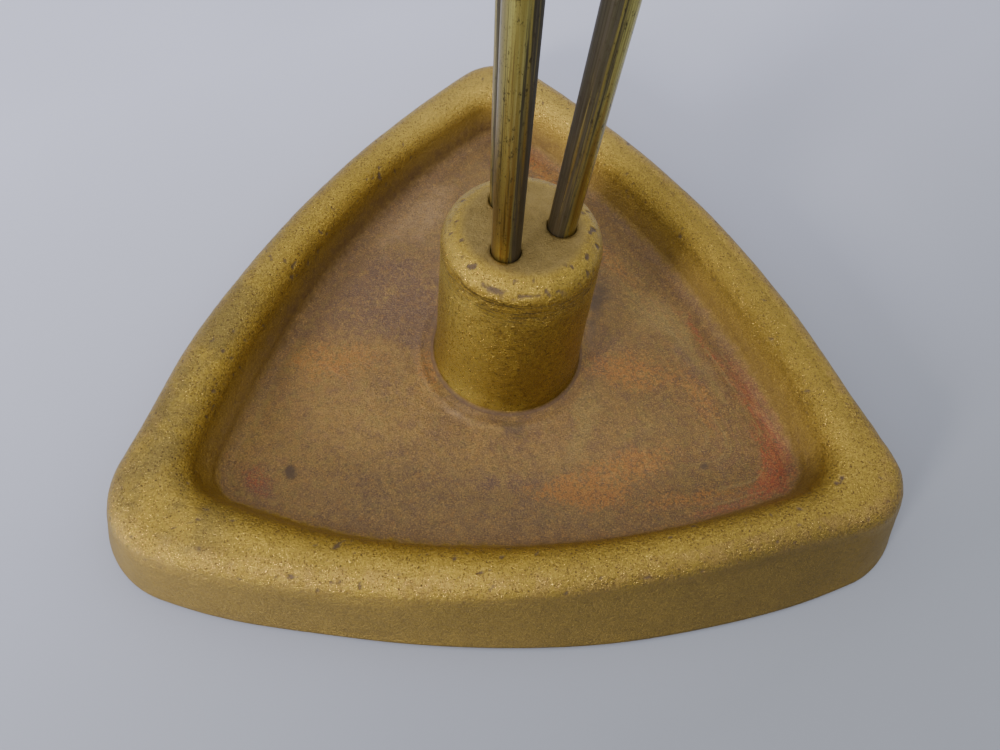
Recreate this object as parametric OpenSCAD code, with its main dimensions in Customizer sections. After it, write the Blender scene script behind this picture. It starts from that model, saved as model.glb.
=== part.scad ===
// Umbrella stand: a cast drip tray in a rounded triangle with a central boss,
// and three brass rods that lean outward and end in open umbrella loops.
// Units are millimetres. +Z is up. The origin is on the boss axis, at the floor.
// +Y points from the boss to the back corner of the tray.

/* [Tray] */
// Distance from the boss axis to the tip of each rounded corner
tray_reach = 139.5; // [135:0.5:146]
// Plan radius of each outer corner
corner_radius = 30.2; // [29:0.2:33]
// Plan radius of each bowed outer side
side_radius = 350; // [330:5:380]
// Height of the rim crest above the casting's lower edge
rim_height = 24; // [23:0.5:27]
// How far the outer wall leans inward between its foot and its edge rounding
wall_lean = 8; // [6:0.5:9]
// Radius of the rounding along the outer top edge of the rim
outer_rounding = 7; // [5:0.5:8]
// Plan distance from the outer foot of the rim to the foot of its inner slope
rim_width = 26.5; // [26:0.5:29]
// Radius of the rounding along the inner top edge of the rim
inner_rounding = 7; // [5:0.5:7]
// Plan radius of the inner corners of the tray floor
floor_corner_radius = 15; // [12:1:18]
// Radius of the fillet between the inner slope and the floor
floor_fillet = 6; // [4:0.5:7]
// Slope of the inner wall of the rim, degrees from level
inner_slope = 75; // [70:1:80]
// Height of the tray floor above the casting's lower edge
floor_top = 5.5; // [5:0.25:6.5]

/* [Boss] */
// Height of the boss top above the casting's lower edge
boss_top = 67.7; // [62:0.5:75]
// Radius of the boss just under its rounded top edge
boss_top_radius = 23.2; // [22.5:0.1:25]
// Radius of the boss where it meets the tray floor
boss_foot_radius = 24.2; // [24:0.1:26]
// Radius of the rounded top edge of the boss
boss_rounding = 7.5; // [5:0.5:8]
// Height of the hollow under the boss, where the nuts sit
hollow_height = 38; // [34:1:42]

/* [Rods and loops] */
// Radius of each brass rod
rod_radius = 4; // [3.8:0.1:4]
// Radius of the drilled rod holes in the boss
hole_radius = 4.3; // [4.2:0.05:4.5]
// Distance from the boss axis to each rod at the boss top
rod_pitch = 10.6; // [10.4:0.1:11]
// Outward lean of each rod, degrees from upright
rod_lean = 2.64; // [1.5:0.02:3]
// Length of each rod from the boss top to the level of its loop
rod_rise = 500; // [420:10:600]
// Radius of the bend at the top of each rod, to the rod's centre line
elbow_radius = 16; // [12:1:18]
// Radius of each umbrella loop, to the rod's centre line
loop_radius = 42; // [38:1:46]

/* [Hub and knob] */
// Radius of the turned hub that takes the loop ends
hub_radius = 15; // [14.5:0.5:17]
// Height of the hub
hub_height = 22; // [21:1:26]
// Radius of the round lifting knob
knob_radius = 13; // [11:0.5:16]

/* [Feet] */
// How far the felt lifts the casting off the floor
felt_lift = 1; // [0.6:0.1:1.5]
// Radius of each corner felt pad
pad_radius = 8; // [6:0.5:8]

/* [Hidden] */

$fn = 48;

bronze = [0.45, 0.36, 0.15];
brass = [0.62, 0.5, 0.22];
hub_brass = [0.6, 0.48, 0.2];
stud_steel = [0.55, 0.55, 0.56];
dark_steel = [0.3, 0.3, 0.31];
plated_steel = [0.5, 0.49, 0.46];
felt_grey = [0.22, 0.2, 0.18];

// Clearance between pieces, and the small step where two sweeps of the tray meet
gap = 0.03;
// How far cutters run past the surface they open
overcut = 1;
// Degrees by which each side sweep runs into the corners
sweep_lap = 0.12;

// Plan: distances from the boss axis to the centres of the corner arcs and side arcs
corner_centre = tray_reach - corner_radius;
side_centre = sqrt(pow(side_radius - corner_radius, 2) - 0.75 * corner_centre * corner_centre)
    - 0.5 * corner_centre;

// Half the angle of a corner arc whose centre is at this distance from the boss axis
function half_angle(centre) = 60 - atan2(sin(60) * centre, 0.5 * centre + side_centre);

// The side arcs of the floor hollow share the outside's side centres
floor_side_radius = side_radius - rim_width;
floor_centre_span = floor_side_radius - floor_corner_radius;
floor_corner_centre = (sqrt(4 * floor_centre_span * floor_centre_span
    - 3 * side_centre * side_centre) - side_centre) / 2;

// Channel under the rim: [distance in from the outer foot, height]
channel_roof = rim_height - 6.5;
channel_points = [[5, -overcut], [12.2, channel_roof], [18.3, channel_roof],
                  [21.5, 6], [23, -overcut]];

// Underside: recess heights above the casting's lower edge
underside_recess = 1.2;
pad_recess = 1;
boss_recess = 0.2;
pad_reach = tray_reach - 14;

// Rods: the loop legs leave the hub 60 degrees from the rods, tangent to each loop
rod_angles = [0, 120, 240];
leg_turn = -60;
leg_length = 2 * loop_radius * cos(30);
leg_start = 6;
hub_offset = (rod_pitch + rod_rise * sin(rod_lean)) / cos(rod_lean);
hub_level = boss_top + (rod_rise + rod_pitch * sin(rod_lean)) / cos(rod_lean);
hub_bottom = hub_level - hub_height / 2;
hub_top = hub_level + hub_height / 2;

// Bends are a hair thinner than the straight lengths, which run a little way into them
bend_radius = rod_radius - 0.02;
lap = 0.4;

// Fasteners under the boss, with levels measured along the rod from the boss top
washer_radius = 7.5;
washer_thickness = 1.6;
nut_across_flats = 13;
nut_height = 6.5;
seat_radius = 7.9;
seat_depth = 2;
seat_level = -(boss_top - hollow_height) / cos(rod_lean) + 0.5;
washer_level = seat_level - gap - washer_thickness;
nut_level = washer_level - gap - nut_height;
rod_end_level = nut_level - 3;

// Knob stud and grub screws
stud_radius = 3;
stud_depth = 6;
grub_radius = 2;
grub_pitch = 10;

// Repeat round the boss axis, with local +X toward each corner or the middle of each side
module at_corners() {
    for (k = [0:2]) rotate([0, 0, 90 + 120 * k]) children();
}
module at_sides() {
    for (k = [0:2]) rotate([0, 0, 30 + 120 * k]) children();
}

// Raise a piece onto the felt
module on_felt() {
    translate([0, 0, felt_lift]) children();
}

// Section of the outside of the rim, from radius inner to its foot, up to crest
module outer_section(foot, inner, crest) {
    centre_x = foot - wall_lean - outer_rounding;
    centre_z = crest - outer_rounding;
    // The wall is the tangent from the foot to the edge rounding
    centre_distance = norm([foot - centre_x, centre_z]);
    wall_angle = atan2(centre_z, centre_x - foot) - asin(outer_rounding / centre_distance);
    wall_length = sqrt(pow(centre_distance, 2) - pow(outer_rounding, 2));
    polygon([[inner, 0], [foot, 0],
             [foot + wall_length * cos(wall_angle), wall_length * sin(wall_angle)],
             [centre_x, centre_z], [centre_x, crest], [inner, crest]]);
    translate([centre_x, centre_z]) circle(r = outer_rounding);
}

// Section of the hollow above the floor, from radius inner to the foot of the inner slope
module hollow_section(foot, inner) {
    // The edge rounding meets the crest this many degrees from its top
    crest_angle = 8;
    hollow_top = rim_height + 6;
    fillet_centre = [foot - floor_fillet * tan(inner_slope / 2), floor_top + floor_fillet];
    slope_start = fillet_centre + floor_fillet * [sin(inner_slope), -cos(inner_slope)];
    edge_z = rim_height - inner_rounding * cos(crest_angle);
    slope_end_z = edge_z + inner_rounding * cos(inner_slope);
    slope_end = [foot + (slope_end_z - floor_top) / tan(inner_slope), slope_end_z];
    edge_centre = [slope_end[0] + inner_rounding * sin(inner_slope), edge_z];
    difference() {
        union() {
            polygon([[inner, floor_top], [fillet_centre[0], floor_top], fillet_centre,
                     slope_start, slope_end, edge_centre,
                     [edge_centre[0], hollow_top], [inner, hollow_top]]);
            translate(fillet_centre) circle(r = floor_fillet);
        }
        translate(edge_centre) circle(r = inner_rounding);
    }
}

// Sweep a section round the three sides, between corner arcs of this half angle
module sweep_sides(corner_angle) {
    at_sides() translate([-side_centre, 0, 0]) rotate([0, 0, corner_angle - 60])
        rotate_extrude(angle = 2 * (60 - corner_angle)) children();
}

// Flat rounded triangle: bowed sides trimmed at the corner arcs, plus the corner circles
module plan(side_r, corner_r, centre) {
    trim = [120, 160];
    difference() {
        intersection_for (k = [0:2])
            rotate(30 + 120 * k) translate([-side_centre, 0]) circle(r = side_r);
        at_corners() translate([centre + corner_r * cos(half_angle(centre)), -trim[1] / 2])
            square(trim);
    }
    at_corners() translate([centre, 0]) circle(r = corner_r);
}

// Plan of the tray floor, drawn in by inset
module floor_plan(inset) {
    plan(floor_side_radius - inset, floor_corner_radius - inset, floor_corner_centre);
}

// The corners stand a hair proud of the sides, and the sides run a little way into them
module outer_solid() {
    corner_angle = half_angle(corner_centre);
    core_inset = 22;
    at_corners() translate([corner_centre, 0, 0]) rotate([0, 0, -corner_angle])
        rotate_extrude(angle = 2 * corner_angle)
            outer_section(corner_radius + gap, 0, rim_height + gap);
    sweep_sides(corner_angle - sweep_lap)
        outer_section(side_radius, side_radius - 50, rim_height);
    linear_extrude(height = floor_top + 3)
        plan(side_radius - core_inset, corner_radius - core_inset, corner_centre);
}

// The hollow is three round corner pits, three side sweeps and a flat middle. The pits
// are a hair smaller than the sweeps, and the sweeps run a little way past them.
module hollow_solid() {
    at_corners() translate([floor_corner_centre, 0, 0])
        rotate_extrude() hollow_section(floor_corner_radius - gap, 0);
    sweep_sides(half_angle(floor_corner_centre) - sweep_lap)
        hollow_section(floor_side_radius, floor_side_radius - 40);
    translate([0, 0, floor_top]) linear_extrude(height = rim_height - floor_top + 6)
        floor_plan(9);
}

// The channel runs along each side and stops short of the corners, which carry the pads
module channel() {
    sweep_sides(half_angle(corner_centre) + 3)
        polygon([for (point = channel_points) [side_radius - point[0], point[1]]]);
}

// Boss section with a rounded top edge, a slight taper and a small fillet at its foot
module boss_section() {
    fillet = 4;
    sink = 0.15;
    root_radius = 21;
    root_top = floor_top - 1.5;
    edge_x = boss_top_radius - boss_rounding;
    edge_z = boss_top - boss_rounding;
    fillet_x = boss_foot_radius + fillet;
    fillet_z = floor_top + fillet - sink;
    polygon([[0, boss_recess], [root_radius, boss_recess], [root_radius, root_top],
             [fillet_x, root_top], [fillet_x, floor_top - sink], [boss_foot_radius, fillet_z],
             [boss_top_radius, edge_z], [edge_x, edge_z], [edge_x, boss_top], [0, boss_top]]);
    translate([edge_x, edge_z]) circle(r = boss_rounding);
    difference() {
        translate([boss_foot_radius - 2, floor_top - 0.5]) square([fillet + 2, fillet + 0.35]);
        translate([fillet_x, fillet_z]) circle(r = fillet);
    }
}

// Local frame of one rod: +Z along its axis, with its zero at the boss top
module rod_frame(angle) {
    rotate([0, 0, angle]) translate([rod_pitch, 0, boss_top]) rotate([0, rod_lean, 0]) children();
}

// Repeat at this level along each rod
module at_rods(level) {
    for (angle = rod_angles) rod_frame(angle) translate([0, 0, level]) children();
}

// Repeat at each grub screw, under the loop legs
module at_grubs(level) {
    for (angle = rod_angles)
        rotate([0, 0, angle + leg_turn]) translate([grub_pitch, 0, level]) children();
}

// Straight leg of a loop in its rod's frame, between two distances from the hub axis
module loop_leg(inner, outer, radius) {
    translate([-hub_offset, 0, rod_rise]) rotate([0, 0, leg_turn]) translate([inner, 0, 0])
        rotate([0, 90, 0]) cylinder(r = radius, h = outer - inner);
}

// Bent length of rod
module bend(radius, angle) {
    rotate_extrude(angle = angle) translate([radius, 0]) circle(r = bend_radius);
}

module cast_base() {
    color(bronze) on_felt() difference() {
        union() {
            difference() {
                outer_solid();
                hollow_solid();
                channel();
                translate([0, 0, -overcut]) linear_extrude(height = underside_recess + overcut)
                    floor_plan(1.5);
                at_corners() translate([pad_reach, 0, -overcut])
                    cylinder(r = pad_radius + 0.3, h = pad_recess + overcut);
            }
            rotate_extrude() boss_section();
        }
        translate([0, 0, -overcut]) cylinder(r = 17.5, h = hollow_height + overcut);
        at_rods(seat_level - seat_depth) {
            cylinder(r = hole_radius, h = boss_top - hollow_height + 10);
            cylinder(r = seat_radius, h = seat_depth);
        }
    }
}

// One rod: tail under the boss, long stem, elbow, open loop and hub leg
module rod(angle) {
    chamfer = 0.8;
    stem_start = rod_end_level + chamfer;
    loop_x = leg_length - hub_offset;
    color(brass) on_felt() rod_frame(angle) {
        translate([0, 0, rod_end_level])
            cylinder(r1 = rod_radius - chamfer, r2 = rod_radius, h = chamfer);
        translate([0, 0, stem_start])
            cylinder(r = rod_radius, h = rod_rise - elbow_radius - stem_start + lap);
        translate([elbow_radius, 0, rod_rise - elbow_radius]) rotate([90, 0, 0])
            rotate([0, 0, 90]) bend(elbow_radius, 90);
        translate([elbow_radius - lap, 0, rod_rise]) rotate([0, 90, 0])
            cylinder(r = rod_radius, h = loop_x - elbow_radius + 2 * lap);
        translate([loop_x, -loop_radius, rod_rise]) rotate([0, 0, -150]) bend(loop_radius, 240);
        loop_leg(leg_start, leg_length + lap, rod_radius);
    }
}
module rod_right() rod(rod_angles[0]);
module rod_back() rod(rod_angles[1]);
module rod_front() rod(rod_angles[2]);

// Turned hub with a bore for each loop leg, a hole for the knob stud and grub screw holes
module top_hub() {
    rounding = 4;
    half = hub_height / 2;
    edge_x = hub_radius - rounding;
    edge_z = half - rounding;
    color(hub_brass) on_felt() difference() {
        translate([0, 0, hub_level]) rotate_extrude() {
            polygon([[0, -half], [edge_x, -half], [edge_x, -edge_z], [hub_radius, -edge_z],
                     [hub_radius, edge_z], [edge_x, edge_z], [edge_x, half], [0, half]]);
            for (z = [edge_z, -edge_z]) translate([edge_x, z]) circle(r = rounding);
        }
        for (angle = rod_angles)
            rod_frame(angle) loop_leg(leg_start - 0.6, hub_radius + 6, rod_radius + gap);
        at_grubs(hub_bottom - overcut) cylinder(r = grub_radius + gap, h = half);
        translate([0, 0, hub_top - stud_depth - 0.2]) cylinder(r = stud_radius + gap, h = 8);
    }
}

// Lifting knob: a ball on a short flared neck
module knob() {
    neck_radius = 6.5;
    neck_height = 5;
    flare = 4;
    base = hub_top + gap;
    ball_level = base + neck_height + sqrt(pow(knob_radius, 2) - pow(neck_radius, 2));
    color(brass) on_felt() difference() {
        union() {
            translate([0, 0, ball_level]) sphere(r = knob_radius);
            translate([0, 0, base]) rotate_extrude() difference() {
                square([neck_radius + 3, 7]);
                translate([neck_radius + flare, 4.5]) circle(r = flare);
            }
        }
        translate([0, 0, hub_top - overcut]) cylinder(r = stud_radius + gap, h = 13.2);
    }
}

// Stud between hub and knob, chamfered at both ends
module knob_stud() {
    chamfer = 0.6;
    shank = 16.2;
    tip_radius = stud_radius - chamfer;
    color(stud_steel) on_felt() translate([0, 0, hub_top - stud_depth]) {
        cylinder(r1 = tip_radius, r2 = stud_radius, h = chamfer);
        translate([0, 0, chamfer]) cylinder(r = stud_radius, h = shank);
        translate([0, 0, chamfer + shank]) cylinder(r1 = stud_radius, r2 = tip_radius, h = chamfer);
    }
}

// Grub screws in the underside of the hub, each ending just below a loop leg,
// with a hexagon socket
module hub_grub_screws() {
    inset = 0.4;
    leg_gap = 0.5;
    color(dark_steel) on_felt() at_grubs(hub_bottom + inset) difference() {
        cylinder(r = grub_radius, h = hub_height / 2 - rod_radius - inset - leg_gap);
        translate([0, 0, -overcut]) cylinder(d = 2.3, h = 3, $fn = 6);
    }
}

// Hexagon nuts, with the corners chamfered at the lower face by a cone
module rod_nuts() {
    cone_radius = nut_across_flats / 2 + 0.2;
    cone_spread = 1.7;
    color(plated_steel) on_felt() at_rods(nut_level) difference() {
        intersection() {
            cylinder(d = nut_across_flats / cos(30), h = nut_height, $fn = 6);
            cylinder(r1 = cone_radius, r2 = cone_radius + nut_height * cone_spread,
                     h = nut_height);
        }
        translate([0, 0, -overcut]) cylinder(r = rod_radius + gap, h = nut_height + 2 * overcut);
    }
}

module rod_washers() {
    color(plated_steel) on_felt() at_rods(washer_level) difference() {
        cylinder(r = washer_radius, h = washer_thickness);
        translate([0, 0, -overcut])
            cylinder(r = rod_radius + 0.2, h = washer_thickness + 2 * overcut);
    }
}

module corner_pads() {
    color(felt_grey) at_corners() translate([pad_reach, 0, 0])
        cylinder(r = pad_radius, h = felt_lift + pad_recess);
}

// Felt disc that closes the hollow under the boss
module centre_felt() {
    color(felt_grey) cylinder(r = 20.5, h = felt_lift + boss_recess);
}

cast_base();
rod_right();
rod_back();
rod_front();
top_hub();
knob();
knob_stud();
hub_grub_screws();
rod_nuts();
rod_washers();
corner_pads();
centre_felt();
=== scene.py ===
# A stand: a cast tray in gold bronze paint, shaped as a rounded triangle, whose central boss holds
# three brass rods. The rods lean outwards as they rise and end in flat loops by a turned hub and
# knob. Z is up and runs through the boss; the tray's corners lie at 90, 210 and 330 degrees, so
# one points back (+Y). Lengths are in millimetres; MM turns them into metres.
import bpy
from math import asin, atan2, cos, degrees, hypot, pi, radians, sin, sqrt, tan
import numpy as np
from mathutils import Matrix, Vector
from mathutils.geometry import delaunay_2d_cdt


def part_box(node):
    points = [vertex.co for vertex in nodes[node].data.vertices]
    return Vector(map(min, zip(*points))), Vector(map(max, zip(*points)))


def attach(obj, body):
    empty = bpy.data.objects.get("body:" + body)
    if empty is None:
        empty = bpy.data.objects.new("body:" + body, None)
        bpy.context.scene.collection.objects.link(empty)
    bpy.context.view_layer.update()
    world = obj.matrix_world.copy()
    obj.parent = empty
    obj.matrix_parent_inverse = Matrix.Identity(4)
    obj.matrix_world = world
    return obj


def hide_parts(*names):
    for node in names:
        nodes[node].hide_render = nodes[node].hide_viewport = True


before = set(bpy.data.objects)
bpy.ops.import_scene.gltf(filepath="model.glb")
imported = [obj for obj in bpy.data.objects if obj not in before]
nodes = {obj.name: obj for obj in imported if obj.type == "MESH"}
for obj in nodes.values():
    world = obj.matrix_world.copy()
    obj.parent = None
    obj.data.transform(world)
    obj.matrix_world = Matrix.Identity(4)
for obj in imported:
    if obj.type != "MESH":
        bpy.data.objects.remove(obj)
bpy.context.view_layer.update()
MM = 0.001

# ------------------------------------------------------------------ driving sizes
base_low, base_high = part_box("cast_base")
LIFT = base_low.z / MM                  # the felt lifts the casting this much
REACH = base_high.y / MM                # boss axis to the back corner
BOSS_TOP = base_high.z / MM - LIFT      # heights on the casting are above its own foot

CORNER_R, SIDE_R = 30.2, 350.0          # arcs of the outer outline
RIM_WIDTH = 26.5
INNER_CORNER_R = 15.0                   # corner arc at the foot of the rim's inner slope
CREST_H, WALL_LEAN, OUTER_ROUND = 24.0, 8.0, 7.0
INNER_ROUND = 8.5                       # the crest rolls over softly into the slope
FLOOR_FILLET, SLOPE, FLOOR_H = 6.0, 75.0, 5.5   # SLOPE in degrees
BOSS_R, BOSS_FOOT_R, BOSS_ROUND, BOSS_FILLET = 23.2, 24.2, 7.5, 1.7
HOLLOW_H, HOLLOW_R = 38.0, 17.5         # hollow under the boss
CHANNEL_H = 17.5                        # channel under the rim
HOLE_R, ROD_R = 4.3, 4.0
ROD_OFFSET, TILT = 10.6, radians(2.64)  # boss axis to a rod at the boss top; outward lean
RISE, ELBOW_R, LOOP_R = 500.0, 16.0, 42.0


def corner_half(corner_d, side_d):
    """Half the angle, in degrees, that a corner arc spans about its own centre."""
    return 60 - degrees(atan2(sin(radians(60)) * corner_d, 0.5 * corner_d + side_d))


# An outline is (axis to corner centre, corner radius, axis to side centre, side radius,
# half the corner's angle).
CORNER_D = REACH - CORNER_R
SIDE_D = sqrt((SIDE_R - CORNER_R) ** 2 - 0.75 * CORNER_D * CORNER_D) - 0.5 * CORNER_D
OUTER = (CORNER_D, CORNER_R, SIDE_D, SIDE_R, corner_half(CORNER_D, SIDE_D))
INNER_SIDE_R = SIDE_R - RIM_WIDTH
INNER_SPAN = INNER_SIDE_R - INNER_CORNER_R
INNER_D = (-SIDE_D + sqrt(4 * INNER_SPAN * INNER_SPAN - 3 * SIDE_D * SIDE_D)) / 2
INNER = (INNER_D, INNER_CORNER_R, SIDE_D, INNER_SIDE_R, corner_half(INNER_D, SIDE_D))

# The casting is uneven: (degrees round it, mm that an edge stands in from the plain section)
CREST_OUTER = [
    (0, -.2), (15, -.6), (30, -1.2), (45, -.9), (60, -.9), (75, -.9), (90, -1.1), (100, -.7),
    (110, .2), (135, .6), (157, .7), (170, .8), (178, .4), (185, .1), (192, .4), (199, 1.5),
    (207, -.8), (215, -2.8), (226, -2.6), (235, -1.8), (265, 0), (290, 1.6), (306, 2.8),
    (317, 3.6), (324, 2.6), (329, .6), (335, -3.6), (339, -.4), (345, .2), (352, .3)]
OUTER_FOOT = [
    (0, 0), (200, 0), (212, .2), (217, -.3), (224, -1.4), (230, -.8), (238, .1), (262, -.3),
    (275, -.7), (285, -1.0), (300, -.6), (312, -.6), (318, -.4), (324, .9), (331, .9), (337, 0)]
CREST_INNER = [
    (2, .9), (33, 1.0), (60, .7), (78, 1.2), (90, 2.2), (102, 1.2), (120, .4), (150, .6),
    (175, 2.0), (198, 3.3), (207, 4.2), (214, 4.0), (222, 2.2), (231, .6), (265, .8), (290, 1.8),
    (312, 3.4), (322, 4.4), (330, 4.2), (342, .9)]
SLOPE_FOOT = [
    (0, 1.0), (20, .5), (60, .5), (90, 1.0), (120, .5), (150, 1.0), (175, 2.0), (190, 2.6),
    (202, 3.6), (212, 2.6), (225, 1.2), (250, .4), (290, .4), (315, 1.2), (325, 2.2), (335, 2.4),
    (345, 1.8)]

# Stain patches on the tray floor: centre x, y; first half axis x, y; second half axis x, y;
# strength
PATCHES = {
    "orange": [
        (-61.5, -6.7, 15.3, 0.1, 0.6, -6.3, 0.6), (-27.4, -10.6, 4.1, 0, 0.2, -8.6, 0.7),
        (20.1, 92.9, 7.0, -10.5, -5.2, -6.8, 1.5), (19.9, -55.3, 11.4, -0.7, -0.5, -3.3, 1.3),
        (35.9, -47.0, 15.0, 5.4, 1.3, -5.8, 0.8), (41.5, -10.4, 13.1, -4.1, -2.2, -6.2, 0.8),
        (65.2, -21.5, 5.6, -12.4, -3.9, -2.7, 0.5), (55.6, -57.3, 19.9, 4.0, 0.1, -2.6, 0.6),
        (40.5, 38.5, 12.8, -15.1, -2.3, -3.0, 0.5)],
    "red": [
        (85.6, -17.6, 4.5, -12.5, -4.4, -2.6, 1.25), (88.8, -33.2, 1.0, -10.5, -5.4, -1.8, 1.25),
        (84.6, -50.5, 7.4, 7.0, 2.9, -3.2, 1.15), (69.8, -59.1, 14.7, 4.4, 0.3, -2.5, 0.7),
        (14.1, 99.9, 7.4, 0.2, -0.5, -9.0, 1.5), (69.5, 3.1, 8.1, -16.4, -1.7, -1.3, 0.6),
        (-80.5, -50.1, 3.6, 1.9, 4.4, -7.6, 0.45)],
    "purple": [
        (-48.6, 15.1, 24.6, 5.7, 2.9, -14.2, 0.9), (-31.4, 11.8, 9.3, 0.1, 0.4, -16.8, 0.9),
        (-45.3, 40.5, 14.0, 16.3, 7.6, -10.8, 0.5), (90.0, -32.9, 1.4, -4.5, -7.5, -4.0, 0.6),
        (-3.0, -51.5, 13.3, -0.9, -0.3, -4.0, 0.8), (36.6, 2.9, 5.2, -2.3, -6.5, -15.5, 0.7),
        (64.0, -7.5, 7.3, -14.2, -2.9, -2.3, 0.6), (-80.4, -51.1, 4.3, 2.9, 5.6, -8.4, 0.7)],
    "olive": [
        (52.9, 15.3, 12.8, -12.0, -6.8, -9.4, 0.9), (65.0, -2.0, 9.0, -17.6, -2.3, -1.8, 0.8),
        (-88.0, -41.0, 3.1, -0.6, -0.1, -13.1, 0.35), (-68.4, -35.9, 15.9, -0.1, 1.5, -13.6, 0.3),
        (24.4, -30.9, 3.8, -1.1, -6.1, -19.2, 0.8), (49.5, -32.8, 17.1, -0.1, -1.6, -10.8, 0.45),
        (-5.0, -64.4, 46.0, -3.9, -0.2, -2.2, 0.2)],
    "pale": [
        (-28.8, 63.6, 9.1, -9.8, -9.5, -15.9, 0.7), (-42.2, 55.5, 15.5, 19.9, 4.3, -5.9, 0.6),
        (-14.5, -24.5, 9.0, -4.7, -2.0, -4.7, 1.0), (29.7, 7.1, 3.4, -1.1, -6.4, -20.1, 0.5),
        (54.0, 52.3, 10.3, -12.8, -3.1, -4.0, 0.4)],
    "dark": [
        (-69.6, -47.6, 1.8, 0, 0.2, -2.0, 1.2), (60.7, -46.5, 2.0, 0, -0.3, -1.7, 1.2),
        (34.8, 20.5, 3.5, -1.1, -5.5, -17.1, 0.7), (-13.8, -19.5, 16.7, -11.9, -2.2, -3.9, 0.8),
        (16.8, -20.7, 9.5, 5.9, 1.2, -2.7, 0.7)],
}


# ------------------------------------------------------------------ geometry helpers
def hash_grid(ix, iy, iz, seed):
    """A fixed pseudo-random value in -1..1 for each whole-number grid point."""
    n = (ix * 73856093) ^ (iy * 19349663) ^ (iz * 83492791) ^ (seed * 2654435761 & 0x7FFFFFFF)
    n = (n ^ (n >> 13)) * 1274126177 & 0x7FFFFFFF
    n = (n ^ (n >> 16)) & 0xFFFFF
    return n / float(0xFFFFF) * 2 - 1


def value_noise(points, cell, seed):
    """Smooth value noise in -1..1 at points (N,3), with cells of the given size."""
    scaled = points / cell
    low = np.floor(scaled).astype(np.int64)
    part = scaled - low
    part = part * part * part * (part * (part * 6 - 15) + 10)
    weights = (1 - part, part)
    total = np.zeros(len(points))
    for dx in (0, 1):
        for dy in (0, 1):
            for dz in (0, 1):
                weight = weights[dx][:, 0] * weights[dy][:, 1] * weights[dz][:, 2]
                total += weight * hash_grid(low[:, 0] + dx, low[:, 1] + dy, low[:, 2] + dz, seed)
    return total


def smoothstep(start, end, value):
    t = np.clip((value - start) / (end - start), 0, 1)
    return t * t * (3 - 2 * t)


def arc(cx, cz, radius, start, end, steps):
    """steps + 1 points on an arc; angles in degrees."""
    angles = [radians(start + (end - start) * i / steps) for i in range(steps + 1)]
    return [(cx + radius * cos(a), cz + radius * sin(a)) for a in angles]


def new_mesh(name, verts, faces, attributes=None):
    """A smooth-shaded object from points in mm, with point attributes."""
    mesh = bpy.data.meshes.new(name)
    mesh.from_pydata([tuple(v) for v in verts * MM], [], faces)
    mesh.update()
    for key, values in (attributes or {}).items():
        values = np.asarray(values, np.float32)
        if values.ndim == 2:
            layer = mesh.attributes.new(key, "FLOAT_VECTOR", "POINT")
            layer.data.foreach_set("vector", values.ravel())
        else:
            layer = mesh.attributes.new(key, "FLOAT", "POINT")
            layer.data.foreach_set("value", values)
    mesh.polygons.foreach_set("use_smooth", [True] * len(mesh.polygons))
    return link_object(name, mesh)


def link_object(name, data):
    ob = bpy.data.objects.new(name, data)
    bpy.context.scene.collection.objects.link(ob)
    return ob


def outline(phi, shape, offset=0.0):
    """Polar radius of a rounded-triangle outline at angles phi, moved outwards by offset."""
    corner_d, corner_r, side_d, side_r, half = shape
    radii = np.empty(len(phi))
    for j, (angle, grow) in enumerate(zip(phi, np.broadcast_to(offset, len(phi)))):
        corner, side = corner_r + grow, side_r + grow
        turn = (degrees(angle) % 360 - 90) % 120        # degrees from the nearest corner
        if turn > 60:
            turn -= 120
        swing = radians(turn)
        square = corner * corner - (corner_d * sin(swing)) ** 2
        on_corner = False
        if square >= 0:
            radius = corner_d * cos(swing) + sqrt(square)
            bend = degrees(atan2(radius * sin(swing), radius * cos(swing) - corner_d))
            on_corner = abs(bend) <= half
        if not on_corner:
            swing = radians(60 - abs(turn))
            radius = -side_d * cos(swing) + sqrt(side * side - (side_d * sin(swing)) ** 2)
        radii[j] = radius
    return radii


# ------------------------------------------------------------------ the casting
# Steps along each stretch of the section
WALL_STEPS, ROUND_STEPS, CREST_STEPS, SLOPE_STEPS, FILLET_STEPS = 26, 18, 7, 12, 14
BOSS_FILLET_STEPS, BOSS_WALL_STEPS, BOSS_ROUND_STEPS = 10, 66, 18
BORE_SIDES, BORE_STEPS = 64, 14
# Region codes kept on the mesh
WALL, CREST, INNER_SIDE, FLOOR, BOSS_SIDE, BOSS_EDGE, DRILLED_TOP, HIDDEN = range(1, 9)


def outer_profile():
    """Outer wall and its rounding: (offset from the outer foot, height)."""
    cx, cz = -WALL_LEAN - OUTER_ROUND, CREST_H - OUTER_ROUND
    span = hypot(cx, cz)
    angle = atan2(cz, cx) - asin(OUTER_ROUND / span)
    length = sqrt(span * span - OUTER_ROUND * OUTER_ROUND)
    x, z = length * cos(angle), length * sin(angle)     # where the wall meets the rounding
    points = [(-0.9, 0.0), (-0.45, 0.08), (-0.12, 0.35), (x * 0.05, z * 0.05)]
    for i in range(1, WALL_STEPS + 1):
        s = 0.05 + 0.95 * i / WALL_STEPS
        points.append((x * s, z * s))
    start = degrees(atan2(z - cz, x - cx))
    return points + arc(cx, cz, OUTER_ROUND, start, 90, ROUND_STEPS)[1:]


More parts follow.
